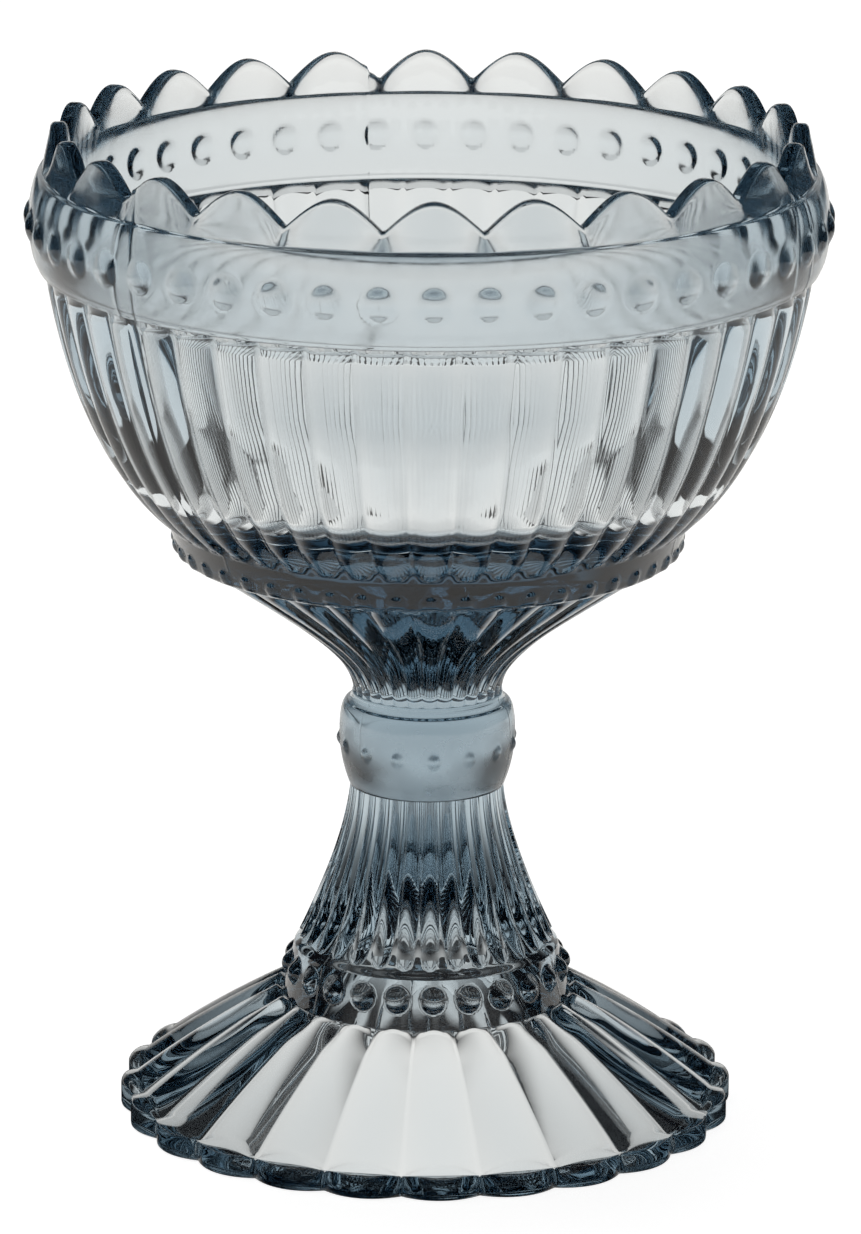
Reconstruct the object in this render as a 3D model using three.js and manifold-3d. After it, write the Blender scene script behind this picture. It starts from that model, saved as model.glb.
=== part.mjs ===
// A footed dessert bowl of pressed glass, standing on the table at the origin, with its axis along +Z.
// From the top: a bowl with a scalloped crown, a beaded band and a fluted cup on a beaded base ring,
// then a flared neck, a beaded knop, a fluted stem and a lobed foot that is hollow underneath.
// Each section is turned from an outline in its own frame, with its lower joint at height 0, and the
// sections stand on each other face to face where the hot glass is fused.
import * as THREE from "three";
import { mergeVertices } from "three/addons/utils/BufferGeometryUtils.js";
import Module from "manifold-3d";

// Lengths are in millimetres and angles in degrees. Azimuth 0 faces -Y and grows towards +X.

// Foot
const FOOT_HEIGHT = 26.0;
const FOOT_RADIUS = 47.3;
const FOOT_REST_WIDTH = 4.3;
const FOOT_EDGE = 0.5;
const RIM_HEIGHT = 3.9;
const RIM_SCALLOP = 1.8;
const NOSE_WIDTH = 2.6;
const NOSE_RISE = 1.3;
const LOBE_COUNT = 24;
const LOBE_TOP_RADIUS = 23.2;
const LOBE_TOP_HEIGHT = 18.3;
const LOBE_CROWN = 0.9;
const LOBE_DEPTH = 2.2;
const LOBE_TOP_DEPTH = 0.7;
const FOOT_BEAD_COUNT = 24;
const FOOT_BEAD_RADIUS = 1.95;
const FOOT_BEAD_RISE = 1.2;
const FOOT_BEAD_DROP = 3.0;
const FOOT_TURN = 3.0;

// Hollow under the foot, whose dome reaches up into the stem
const HOLLOW_JOINT_RADIUS = 11.5;
const HOLLOW_BEND_RADIUS = 17.0;
const HOLLOW_BEND_HEIGHT = 17.5;
const HOLLOW_DOME_RISE = 10.0;

// Stem
const STEM_HEIGHT = 25.8;
const STEM_LOW_RADIUS = 20.4;
const STEM_BEND_RADIUS = 12.6;
const STEM_BEND_HEIGHT = 16.0;
const STEM_TOP_RADIUS = 11.8;
const STEM_FLUTE_COUNT = 30;
const STEM_FLUTE_DEPTH = 1.5;
const STEM_FLUTE_TOP_DEPTH = 1.0;
const STEM_TURN = 1.9;

// Knop
const KNOP_LIP = 0.1;
const KNOP_LOW_RADIUS = STEM_TOP_RADIUS + KNOP_LIP;
const KNOP_SWELL = 1.6;
const KNOP_RADIUS = KNOP_LOW_RADIUS + KNOP_SWELL;
const KNOP_DRAW_IN = 2.0;
const KNOP_TOP_RADIUS = KNOP_RADIUS - KNOP_DRAW_IN;
const KNOP_LOWER_HEIGHT = 5.2;
const KNOP_GIRTH_HEIGHT = 3.0;
const KNOP_UPPER_HEIGHT = 6.5;
const KNOP_BEAD_COUNT = 15;
const KNOP_BEAD_RISE = 0.6;
const KNOP_TURN = 4.5;

// Neck
const NECK_HEIGHT = 22.5;
const NECK_STEP = 0.1;
const NECK_LOW_RADIUS = KNOP_TOP_RADIUS - NECK_STEP;
const NECK_WAIST_HEIGHT = 6.5;
const NECK_FLARE_RADIUS = 22.8;
const NECK_FLARE_HEIGHT = 12.8;
const NECK_TOP_RADIUS = 36.6;
const NECK_FLUTE_COUNT = 30;
const NECK_FLUTE_DEPTH = 0.45;
const NECK_FLUTE_TOP_DEPTH = 1.6;
const NECK_TURN = 1.9;

// Bowl: base ring, fluted cup, beaded band and scalloped crown
const BASE_RING_HEIGHT = 5.5;
const BASE_RING_OVERHANG = 1.7;
const BASE_RING_LOW_RADIUS = NECK_TOP_RADIUS + BASE_RING_OVERHANG;
const BASE_RING_FLARE = 1.5;
const BASE_RING_TOP_RADIUS = BASE_RING_LOW_RADIUS + BASE_RING_FLARE;
const BASE_BEAD_COUNT = 48;
const BASE_BEAD_RADIUS = 1.4;
const BASE_BEAD_RISE = 0.6;
const CUP_HEIGHT = 39.1;
const CUP_OVERHANG = 0.8;
const CUP_LOW_RADIUS = BASE_RING_TOP_RADIUS + CUP_OVERHANG;
const CUP_BULGE_RADIUS = 53.6;
const CUP_BULGE_HEIGHT = 11.0;
const CUP_TOP_RADIUS = 58.3;
const CUP_FLUTE_COUNT = 48;
const CUP_FLUTE_DEPTH = 1.0;
const CUP_WALL_LOW = 3.8;
const CUP_WALL_TOP = 5.3;
const CUP_WALL_SWELL = 1.75;
const FLOOR_THICKNESS = 8.5;
const FLOOR_CORNER = 7.0;
const FLOOR_CORNER_BEND = 1.5;
const FLOOR_CORNER_RUN = 21.5;
const BAND_HEIGHT = 14.2;
const BAND_OVERHANG = 1.0;
const BAND_LOW_RADIUS = CUP_TOP_RADIUS + BAND_OVERHANG;
const BAND_SWELL = 1.1;
const BAND_RADIUS = BAND_LOW_RADIUS + BAND_SWELL;
const BAND_DRAW_IN = 1.5;
const BAND_TOP_RADIUS = BAND_RADIUS - BAND_DRAW_IN;
const BAND_BEAD_COUNT = 48;
const BAND_BEAD_RADIUS = 2.65;
const BAND_BEAD_RISE = 0.8;
const CROWN_WALL_HEIGHT = 2.6;
const CROWN_LEDGE = 0.4;
const CROWN_LOW_RADIUS = BAND_TOP_RADIUS - CROWN_LEDGE;
const CROWN_LEAN = 1.4;
const CROWN_TOP_RADIUS = CROWN_LOW_RADIUS - CROWN_LEAN;
const CROWN_WALL = 2.6;
const CROWN_WALL_LOW = 4.1;
const CROWN_EDGE = 0.8;
const SCALLOP_COUNT = 24;
const SCALLOP_DEPTH = 4.6;
const BOWL_TURN = 0.7;

// Facets: how many flat steps stand for a curve, and how many columns for one lobe or flute
const CURVE_STEPS = 5;
const SHORT_CURVE_STEPS = 3;
const LOBE_COLUMNS = 4;
const FLUTE_COLUMNS = 2;
const BEAD_DETAIL = 1;
const STUD_SHARPNESS = 8;

// Smoky grey-blue glass: the thin walls look pale, and the deep sections dark
const GLASS_ROUGHNESS = 0.05;
const FOOT_COLOUR = 0xb4c0c8;
const STEM_COLOUR = 0x3d5368;
const KNOP_COLOUR = 0x8796a1;
const NECK_COLOUR = 0x2c3b4b;
const BOWL_COLOUR = 0xc3cdd2;

const wasm = await Module();
wasm.setup();

const { degToRad, lerp } = THREE.MathUtils;

// A point of an outline. relief gives how far the surface moves there at an azimuth, as [radius, height].
function at(r, z, relief = null) {
  return { r, z, relief };
}

// The points of a plane curve as outline points. reliefAt makes the relief for a share of its length.
function along(curve, steps, reliefAt = () => null) {
  return curve.getPoints(steps).map((p, i) => at(p.x, p.y, reliefAt(i / steps)));
}

function bend(r0, z0, r1, z1, r2, z2) {
  const points = [[r0, z0], [r1, z1], [r2, z2]].map(([r, z]) => new THREE.Vector2(r, z));
  return new THREE.QuadraticBezierCurve(...points);
}

// 1 on the crest of a convex lobe and 0 in the sharp valley between two.
function lobe(azimuth, count, turn) {
  const place = ((azimuth - turn) * count) / 360;
  const off = place - Math.round(place);
  return 1 - (2 * off) ** 2;
}

// Valleys cut inwards between convex flutes.
function flutes(count, depth, turn) {
  return (azimuth) => [-depth * (1 - lobe(azimuth, count, turn)), 0];
}

// Valleys cut downwards between lobes, or between the scallops of an edge.
function dips(count, depth, turn) {
  return (azimuth) => [0, -depth * (1 - lobe(azimuth, count, turn))];
}

// Small beads, each raised to a point in one row of an outline.
function studs(count, rise, turn) {
  return (azimuth) => [rise * lobe(azimuth, count, turn) ** STUD_SHARPNESS, 0];
}

// A geometry as a solid that can be joined to others.
function solid(geometry) {
  geometry.deleteAttribute("normal");
  geometry.deleteAttribute("uv");
  const merged = mergeVertices(geometry);
  const vertProperties = merged.getAttribute("position").array;
  const triVerts = new Uint32Array(merged.index.array);
  return new wasm.Manifold(new wasm.Mesh({ numProp: 3, vertProperties, triVerts }));
}

// Turns an outline about the axis. The first column stands at the azimuth turn, on a crest.
function turned(outline, columns, turn) {
  const profile = outline.map(({ r, z }) => new THREE.Vector2(r, z));
  const geometry = new THREE.LatheGeometry(profile, columns, degToRad(turn));
  geometry.rotateX(Math.PI / 2);
  const place = geometry.getAttribute("position");
  outline.forEach(({ r, z, relief }, row) => {
    if (!relief) return;
    for (let column = 0; column <= columns; column++) {
      const azimuth = turn + (360 * column) / columns;
      const [outwards, up] = relief(azimuth);
      const x = (r + outwards) * Math.sin(degToRad(azimuth));
      const y = -(r + outwards) * Math.cos(degToRad(azimuth));
      place.setXYZ(column * outline.length + row, x, y, z + up);
    }
  });
  return solid(geometry);
}

// A ring of round beads, each sunk to its middle in the face at radius r and height z.
function beads(count, radius, rise, r, z, turn) {
  return Array.from({ length: count }, (_, i) => {
    const bead = new THREE.OctahedronGeometry(1, BEAD_DETAIL);
    bead.scale(radius, rise, radius);
    bead.translate(0, -r, z);
    bead.rotateZ(degToRad(turn + (360 * i) / count));
    return solid(bead);
  });
}

function section(name, bodies, colour, height) {
  const { vertProperties, triVerts, numProp } = wasm.Manifold.union(bodies).getMesh();
  const geometry = new THREE.BufferGeometry();
  geometry.setAttribute("position", new THREE.BufferAttribute(vertProperties, numProp));
  geometry.setIndex(new THREE.BufferAttribute(triVerts, 1));
  geometry.computeVertexNormals();
  const material = new THREE.MeshStandardMaterial({ color: colour, roughness: GLASS_ROUGHNESS, metalness: 0 });
  const mesh = new THREE.Mesh(geometry, material);
  mesh.name = name;
  mesh.position.z = height;
  return mesh;
}

// Lobed skirt with an upright scalloped rim, under a beaded shoulder that carries the stem.
function foot() {
  const restRadius = FOOT_RADIUS - FOOT_REST_WIDTH;
  const noseRadius = FOOT_RADIUS - NOSE_WIDTH;
  const noseHeight = RIM_HEIGHT + NOSE_RISE;
  const rim = flutes(LOBE_COUNT, RIM_SCALLOP, FOOT_TURN);
  const lobes = (share) => dips(LOBE_COUNT, lerp(LOBE_DEPTH, LOBE_TOP_DEPTH, share), FOOT_TURN);
  const crownRadius = (noseRadius + LOBE_TOP_RADIUS) / 2 + LOBE_CROWN;
  const crownHeight = (noseHeight + LOBE_TOP_HEIGHT) / 2 + LOBE_CROWN;
  const skirt = bend(noseRadius, noseHeight, crownRadius, crownHeight, LOBE_TOP_RADIUS, LOBE_TOP_HEIGHT);
  const hollow = bend(
    HOLLOW_JOINT_RADIUS, FOOT_HEIGHT, HOLLOW_BEND_RADIUS, HOLLOW_BEND_HEIGHT, restRadius, 0);
  const outline = [
    at(FOOT_RADIUS - FOOT_EDGE, 0, rim),
    at(FOOT_RADIUS, FOOT_EDGE, rim),
    at(FOOT_RADIUS, RIM_HEIGHT, rim),
    ...along(skirt, CURVE_STEPS, lobes),
    at(STEM_LOW_RADIUS, FOOT_HEIGHT),
    ...along(hollow, CURVE_STEPS),
    at(FOOT_RADIUS - FOOT_EDGE, 0, rim),
  ];
  const beadHeight = FOOT_HEIGHT - FOOT_BEAD_DROP;
  const beadShare = FOOT_BEAD_DROP / (FOOT_HEIGHT - LOBE_TOP_HEIGHT);
  const beadPlace = lerp(STEM_LOW_RADIUS, LOBE_TOP_RADIUS, beadShare);
  return [
    turned(outline, LOBE_COUNT * LOBE_COLUMNS, FOOT_TURN),
    ...beads(FOOT_BEAD_COUNT, FOOT_BEAD_RADIUS, FOOT_BEAD_RISE, beadPlace, beadHeight, FOOT_TURN),
  ];
}

// Fluted stem, with the dome of the foot's hollow in its lower end.
function stem() {
  const dome = new THREE.EllipseCurve(0, 0, HOLLOW_JOINT_RADIUS, HOLLOW_DOME_RISE, Math.PI / 2, 0, true);
  const side = bend(
    STEM_LOW_RADIUS, 0, STEM_BEND_RADIUS, STEM_BEND_HEIGHT, STEM_TOP_RADIUS, STEM_HEIGHT);
  const reeds = (share) => {
    const depth = share > 0 ? lerp(STEM_FLUTE_DEPTH, STEM_FLUTE_TOP_DEPTH, share) : 0;
    return flutes(STEM_FLUTE_COUNT, depth, STEM_TURN);
  };
  const outline = [
    at(0, HOLLOW_DOME_RISE),
    ...along(dome, SHORT_CURVE_STEPS).slice(1),
    ...along(side, CURVE_STEPS, reeds),
    at(0, STEM_HEIGHT),
  ];
  return [turned(outline, STEM_FLUTE_COUNT * FLUTE_COLUMNS, STEM_TURN)];
}

// Rounded collar with a row of low beads round its girth.
function knop() {
  const girthTop = KNOP_LOWER_HEIGHT + KNOP_GIRTH_HEIGHT;
  const top = girthTop + KNOP_UPPER_HEIGHT;
  const lower = bend(KNOP_LOW_RADIUS, 0, KNOP_RADIUS, KNOP_LOWER_HEIGHT / 2, KNOP_RADIUS, KNOP_LOWER_HEIGHT);
  const upper = bend(KNOP_RADIUS, girthTop, KNOP_RADIUS, top, KNOP_TOP_RADIUS, top);
  const row = studs(KNOP_BEAD_COUNT, KNOP_BEAD_RISE, KNOP_TURN);
  const outline = [
    at(0, 0),
    ...along(lower, SHORT_CURVE_STEPS),
    at(KNOP_RADIUS, KNOP_LOWER_HEIGHT + KNOP_GIRTH_HEIGHT / 2, row),
    ...along(upper, SHORT_CURVE_STEPS),
    at(0, top),
  ];
  return [turned(outline, KNOP_BEAD_COUNT * LOBE_COLUMNS, KNOP_TURN)];
}

// Solid flared neck, fluted from the knop up to the bowl.
function neck() {
  const side = new THREE.CubicBezierCurve(
    new THREE.Vector2(NECK_LOW_RADIUS, 0),
    new THREE.Vector2(NECK_LOW_RADIUS, NECK_WAIST_HEIGHT),
    new THREE.Vector2(NECK_FLARE_RADIUS, NECK_FLARE_HEIGHT),
    new THREE.Vector2(NECK_TOP_RADIUS, NECK_HEIGHT),
  );
  const reeds = (share) =>
    flutes(NECK_FLUTE_COUNT, lerp(NECK_FLUTE_DEPTH, NECK_FLUTE_TOP_DEPTH, share), NECK_TURN);
  const outline = [at(0, 0), ...along(side, CURVE_STEPS, reeds), at(0, NECK_HEIGHT)];
  return [turned(outline, NECK_FLUTE_COUNT * FLUTE_COLUMNS, NECK_TURN)];
}

// The inside of the cup: a plain wall, thickest half way up, rounded into a flat floor.
function cupInside(cup) {
  const behind = cup.getPoints(CURVE_STEPS).filter((p) => p.y > FLOOR_THICKNESS + FLOOR_CORNER).reverse();
  const upright = behind.map((p, i) => {
    const share = i / (behind.length - 1);
    const swell = CUP_WALL_SWELL * 4 * share * (1 - share);
    return at(p.x - lerp(CUP_WALL_TOP, CUP_WALL_LOW, share) - swell, p.y);
  });
  const last = upright.at(-1);
  const corner = bend(
    last.r, last.z, last.r - FLOOR_CORNER_BEND, FLOOR_THICKNESS, last.r - FLOOR_CORNER_RUN, FLOOR_THICKNESS);
  return [...upright, ...along(corner, SHORT_CURVE_STEPS).slice(1), at(0, FLOOR_THICKNESS)];
}

// Base ring, fluted cup, beaded band and scalloped crown, in one wall.
function bowl() {
  const cupTop = BASE_RING_HEIGHT + CUP_HEIGHT;
  const bandTop = cupTop + BAND_HEIGHT;
  const crownTop = bandTop + CROWN_WALL_HEIGHT + SCALLOP_DEPTH;
  const crownInside = CROWN_TOP_RADIUS - CROWN_WALL;
  const cup = bend(
    CUP_LOW_RADIUS, BASE_RING_HEIGHT, CUP_BULGE_RADIUS, BASE_RING_HEIGHT + CUP_BULGE_HEIGHT,
    CUP_TOP_RADIUS, cupTop);
  const bandBend = 2 * BAND_RADIUS - (BAND_LOW_RADIUS + BAND_TOP_RADIUS) / 2;
  const band = bend(
    BAND_LOW_RADIUS, cupTop, bandBend, cupTop + BAND_HEIGHT / 2, BAND_TOP_RADIUS, bandTop);
  const reeds = flutes(CUP_FLUTE_COUNT, CUP_FLUTE_DEPTH, BOWL_TURN);
  const scallops = dips(SCALLOP_COUNT, SCALLOP_DEPTH, BOWL_TURN);
  const ringRadius = (z) => lerp(BASE_RING_LOW_RADIUS, BASE_RING_TOP_RADIUS, z / BASE_RING_HEIGHT);
  const ringBeads = studs(BASE_BEAD_COUNT, BASE_BEAD_RISE, BOWL_TURN);
  const outline = [
    at(0, 0),
    at(BASE_RING_LOW_RADIUS, 0),
    at(ringRadius(BASE_BEAD_RADIUS), BASE_BEAD_RADIUS, ringBeads),
    at(ringRadius(2 * BASE_BEAD_RADIUS), 2 * BASE_BEAD_RADIUS),
    at(BASE_RING_TOP_RADIUS, BASE_RING_HEIGHT),
    ...along(cup, CURVE_STEPS, () => reeds),
    ...along(band, SHORT_CURVE_STEPS),
    at(CROWN_LOW_RADIUS, bandTop),
    at(CROWN_TOP_RADIUS, crownTop - CROWN_EDGE, scallops),
    at(CROWN_TOP_RADIUS - CROWN_EDGE, crownTop, scallops),
    at(crownInside + CROWN_EDGE, crownTop, scallops),
    at(crownInside, crownTop - CROWN_EDGE, scallops),
    at(CROWN_LOW_RADIUS - CROWN_WALL_LOW, bandTop),
    ...cupInside(cup),
  ];
  const bandBeadHeight = cupTop + BAND_HEIGHT / 2;
  return [
    turned(outline, CUP_FLUTE_COUNT * FLUTE_COLUMNS, BOWL_TURN),
    ...beads(BAND_BEAD_COUNT, BAND_BEAD_RADIUS, BAND_BEAD_RISE, BAND_RADIUS, bandBeadHeight, BOWL_TURN),
  ];
}

const stemBase = FOOT_HEIGHT;
const knopBase = stemBase + STEM_HEIGHT;
const neckBase = knopBase + KNOP_LOWER_HEIGHT + KNOP_GIRTH_HEIGHT + KNOP_UPPER_HEIGHT;
const bowlBase = neckBase + NECK_HEIGHT;

const dessertBowl = new THREE.Group();
dessertBowl.add(
  section("foot", foot(), FOOT_COLOUR, 0),
  section("stem", stem(), STEM_COLOUR, stemBase),
  section("knop", knop(), KNOP_COLOUR, knopBase),
  section("neck", neck(), NECK_COLOUR, neckBase),
  section("bowl", bowl(), BOWL_COLOUR, bowlBase),
);

export default dessertBowl;
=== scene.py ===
# The looks of a footed dessert bowl in smoky pressed glass: five sections of glass on a white stage.
# Lengths are in metres and angles in radians. Azimuth 0 faces -Y, towards the viewer, and grows towards +X.
import math
from collections import namedtuple

import bmesh
import bpy
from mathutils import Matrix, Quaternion, Vector, noise


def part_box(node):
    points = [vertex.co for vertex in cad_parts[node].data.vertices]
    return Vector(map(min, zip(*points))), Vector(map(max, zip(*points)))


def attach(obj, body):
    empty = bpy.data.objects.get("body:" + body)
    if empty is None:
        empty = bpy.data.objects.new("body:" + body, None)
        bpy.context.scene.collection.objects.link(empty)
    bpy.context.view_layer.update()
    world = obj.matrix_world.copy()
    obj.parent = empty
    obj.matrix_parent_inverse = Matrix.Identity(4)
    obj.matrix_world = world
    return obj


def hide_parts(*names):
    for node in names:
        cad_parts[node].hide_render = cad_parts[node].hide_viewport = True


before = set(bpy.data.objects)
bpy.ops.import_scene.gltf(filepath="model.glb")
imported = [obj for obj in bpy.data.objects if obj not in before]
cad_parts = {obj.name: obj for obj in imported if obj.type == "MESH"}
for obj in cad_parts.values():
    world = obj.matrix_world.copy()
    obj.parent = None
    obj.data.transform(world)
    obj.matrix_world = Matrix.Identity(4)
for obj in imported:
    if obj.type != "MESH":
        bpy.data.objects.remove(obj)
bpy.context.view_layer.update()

bl_info = {
    "name": "Footed dessert bowl",
    "version": (1, 0, 0),
    "blender": (4, 5, 0),
    "location": "View3D > Sidebar > Dessert bowl",
    "description": "Models a footed dessert bowl in smoky pressed glass, section by section",
    "category": "Object",
}

MM = 0.001
FULL_TURN = 2 * math.pi
QUARTER_TURN = math.pi / 2

# The sections meet on these heights, where the glass is fused
STEM_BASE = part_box("stem")[0].z
KNOP_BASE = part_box("knop")[0].z
NECK_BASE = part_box("neck")[0].z
BOWL_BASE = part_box("bowl")[0].z
BOWL_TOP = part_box("bowl")[1].z
# Two fused faces keep this hair's breadth between them, so that light leaves one before it enters the next
JOINT_GAP = 0.01 * MM

# The mould closed on three seams, which left fine raised lines down the glass
SEAM_AZIMUTHS = tuple(math.radians(degrees) for degrees in (-50.0, 70.0, 190.0))
SEAM_RISE = 0.06 * MM
SEAM_HALF_WIDTH = 0.18 * MM

# Pressed glass lies off its true shape in long low waves, with shorter ones on them
LONG_WAVE = 14 * MM
SHORT_WAVE = 5 * MM
SHORT_WAVE_SHARE = 0.4
UNEVENNESS = 0.03 * MM
KNOP_UNEVENNESS = 0.07 * MM

# Fire polishing melts the edges of the beads on the band and the knop into the face round them
BEAD_MELT = 1.1

# The skin of the glass ripples, and where it is dulled the ripple makes it more or less so
RIPPLE_WIDTH = 3 * MM
RIPPLE_HEIGHT = 0.004 * MM
RIPPLE_DETAIL = 2.0
RIPPLE_RANGE = (0.35, 0.65)
DULL_LEAST = 0.7
DULL_MOST = 1.3
# A fused joint bends no light
JOINT_IOR = 1.0

# Each section is turned as a number of equal sectors, with an even number of columns for every flute,
# bead and lobe: (sectors, columns in a sector)
FOOT_SECTORS = (24, 20)
STEM_SECTORS = (30, 20)
BOWL_SECTORS = (24, 28)

# Steps along each stretch of the outlines
SHOULDER_STEPS = 24
SKIRT_STEPS = 30
NOSE_STEPS = 7
RIM_STEPS = 4
EDGE_STEPS = 3
HOLLOW_STEPS = 26
DOME_STEPS = 20
STEM_STEPS = 72
KNOP_GIRTH_STEPS = 24
KNOP_SHOULDER_STEPS = 14
KNOP_LID_STEPS = 6
NECK_STEPS = 44
RING_STEPS = 16
CUP_STEPS = 22
LIP_STEPS = 5
BAND_STEPS = 34
CROWN_STEPS = 10
CROWN_EDGE_STEPS = 4
CROWN_INSIDE_STEPS = 6
INSIDE_STEPS = 18
CORNER_STEPS = 10
# Over 1, the stem's steps are shorter low down, where its flutes end in fingers
STEM_CROWDING = 1.4

# Shares of a stretch: where the lobes' arched tops end, where the neck's flutes begin to fade, where the
# cup's tongues end, and between which the dulled skin of the knop fades towards its shoulder
LOBE_ARCH_END = 0.25
NECK_FLUTE_FADE = 0.94
TONGUE_END = 0.15
KNOP_CHILL_FADE = (0.1, 0.5)
# The tip of a finger closes to this share of a flute's width
LEAST_FINGER_WIDTH = 0.001

# The paper as the glass shows it. Each pair tells where a smooth rise begins and where it ends.
# Under the foot it is lit within the line of contact, less so towards the sides and the back. Round the
# foot lies a painted contact shadow, which clears from dark to light. Shares are of the contact radius.
UNDER_EDGE_SHARE = 0.96
UNDER_SIDE_SHARE = 2.0
UNDER_BACK = (0.046, 0.002)
CONTACT_SHADOW_SHARES = (1.1, 2.2)
# Behind the bowl lies its soft shadow
SHADOW_NEAR = (0.12, 0.18)
SHADOW_FAR = (0.45, 0.3)
SHADOW_SIDES = (0.16, 0.08)
SHADOW_SHADE = 0.9
# The paper narrows between these places behind the bowl, and fades out past its edges, in half widths
PAPER_NARROWS = (0.1, 0.4)
PAPER_EDGE = (1.5, 1.0)
# The paper's rise fills the directions behind the bowl along Y, and low ones along Z
RISE_BEHIND = (0.82, 0.95)
RISE_LOW = (0.42, 0.18)

# To the eye the floor glows almost white, and a matt grey on top of that takes the bowl's shadow
FLOOR_GLOW = 0.88
FLOOR_MATT = (0.5, 0.5, 0.5, 1)
FLOOR_DROP = 0.05 * MM
FLOOR_SIDES = 96

# One soft lamp above and behind the bowl, with its power in watts
SOFTBOX_PLACE = (-0.2, 0.3, 1.9)
SOFTBOX_SIZE = 1.8
SOFTBOX_POWER = 24.0

# The photograph's camera, with its lens and sensor in millimetres
CAMERA_LENS = 226.0
CAMERA_SENSOR = 36.0
CAMERA_SIDE = 0.43 * MM
CAMERA_PLACE = (CAMERA_SIDE, -1.14267, 0.39322)
CAMERA_AIM = (CAMERA_SIDE, 0.0, 0.07786)
CAMERA_ROLL = math.radians(0.27)

# Light passes many faces of clear glass before it comes out
BOUNCES = 40
GLOSSY_BOUNCES = 24


def linear(hex_colour):
    """An sRGB hex colour as linear red, green and blue."""
    channels = [int(hex_colour[i:i + 2], 16) / 255 for i in (0, 2, 4)]
    return tuple(c / 12.92 if c <= 0.04045 else ((c + 0.055) / 1.055) ** 2.4 for c in channels)


def length(name, description, size_mm):
    """A length for the panel, with its default in millimetres."""
    return bpy.props.FloatProperty(
        name=name, description=description, default=size_mm * MM, unit="LENGTH", precision=5)


def number(name, description, default):
    """A number of like things round the axis."""
    return bpy.props.IntProperty(name=name, description=description, default=default, min=3)


def amount(name, description, default, least=0.0):
    """A plain measure without a unit."""
    return bpy.props.FloatProperty(name=name, description=description, default=default, min=least)


def turn(name, description, degrees):
    """An angle for the panel, with its default in degrees."""
    return bpy.props.FloatProperty(
        name=name, description=description, default=math.radians(degrees), subtype="ANGLE")


def colour(name, description, hex_colour):
    """A colour for the panel, with its default in sRGB hex."""
    return bpy.props.FloatVectorProperty(
        name=name, description=description, default=linear(hex_colour), subtype="COLOR", min=0.0, max=1.0)


class FootSizes(bpy.types.PropertyGroup):
    """Sizes of the lobed foot and of the hollow under it."""

    radius: length("Radius", "Radius over the lobes of the rim", 47.3)
    rest_width: length("Rest width", "Width of the flat ring that stands on the table", 4.3)
    rim_height: length("Rim height", "Height of the upright scalloped rim", 3.9)
    rim_scallop: length("Rim scallop", "Depth of the valleys in the rim", 1.8)
    edge: length("Edge", "Rounding at the bottom of the rim", 0.5)
    nose_width: length("Nose width", "How far the skirt stops short of the rim", 2.6)
    nose_rise: length("Nose rise", "Height of the rounded nose above the rim", 1.3)
    lobes: number("Lobes", "Number of lobes round the skirt", 24)
    lobe_depth: length("Lobe depth", "Depth of the valleys at the rim", 2.2)
    lobe_top_depth: length("Lobe top depth", "Depth of the valleys at the shoulder", 0.7)
    lobe_top_radius: length("Lobe top radius", "Radius where the lobes start", 23.2)
    lobe_top_height: length("Lobe top height", "Height where the lobes start", 18.3)
    lobe_crown: length("Lobe crown", "How far the skirt bulges from a straight cone", 0.9)
    lobe_arch: length("Lobe arch", "How far the arched tops of the lobes drop at their sides", 1.0)
    beads: number("Beads", "Number of beads round the shoulder", 24)
    bead_radius: length("Bead radius", "Radius of a bead", 1.95)
    bead_rise: length("Bead rise", "How far a bead stands out", 1.2)
    bead_drop: length("Bead drop", "Height of the stem's joint above the beads", 3.0)
    hollow_radius: length("Hollow radius", "Radius of the hollow at the stem's joint", 11.5)
    hollow_bend_radius: length("Hollow bend radius", "Radius of the hollow's bend", 17.0)
    hollow_bend_height: length("Hollow bend height", "Height of the hollow's bend", 17.5)
    azimuth: turn("Turn", "Azimuth of a lobe's crest", 3.0)


class StemSizes(bpy.types.PropertyGroup):
    """Sizes of the fluted stem."""

    low_radius: length("Low radius", "Radius at the foot", 20.4)
    bend_radius: length("Bend radius", "Radius of the curve's bend", 12.6)
    bend_height: length("Bend height", "Height of the curve's bend above the joint", 16.0)
    top_radius: length("Top radius", "Radius at the knop", 11.8)
    flutes: number("Flutes", "Number of flutes", 30)
    flute_depth: length("Flute depth", "Depth of the valleys low down", 1.5)
    flute_top_depth: length("Flute top depth", "Depth of the valleys at the knop", 1.0)
    finger_height: length("Finger height", "Height of the flutes' ends above the joint", 1.3)
    finger_length: length("Finger length", "Length over which the flutes part into fingers", 9.5)
    finger_round: length("Finger round", "Length of a finger's rounded tip", 2.2)
    finger_step: length("Finger step", "How far the fingers' tips stand out", 0.6)
    finger_gap: length("Finger gap", "Width of the open valley between two fingers", 1.0)
    dome_rise: length("Dome rise", "Height of the hollow's dome", 10.0)
    azimuth: turn("Turn", "Azimuth of a flute's crest", 1.9)


class KnopSizes(bpy.types.PropertyGroup):
    """Sizes of the beaded knop."""

    low_radius: length("Low radius", "Radius at the stem", 11.9)
    radius: length("Radius", "Radius at the girth", 13.5)
    girth_height: length("Girth height", "Height of the girth above the joint", 8.2)
    shoulder_radius: length("Shoulder radius", "Radius of the upper edge", 12.2)
    shoulder_height: length("Shoulder height", "Height of the upper edge", 13.2)
    lid_rise: length("Lid rise", "Height of the lid's bend above the upper edge", 0.3)
    top_radius: length("Top radius", "Radius at the neck", 11.5)
    beads: number("Beads", "Number of beads", 15)
    bead_radius: length("Bead radius", "Radius of a bead", 1.2)
    bead_rise: length("Bead rise", "How far a bead stands out", 0.5)
    bead_height: length("Bead height", "Height of the beads above the joint", 6.8)
    azimuth: turn("Turn", "Azimuth of a bead", 4.5)


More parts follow.
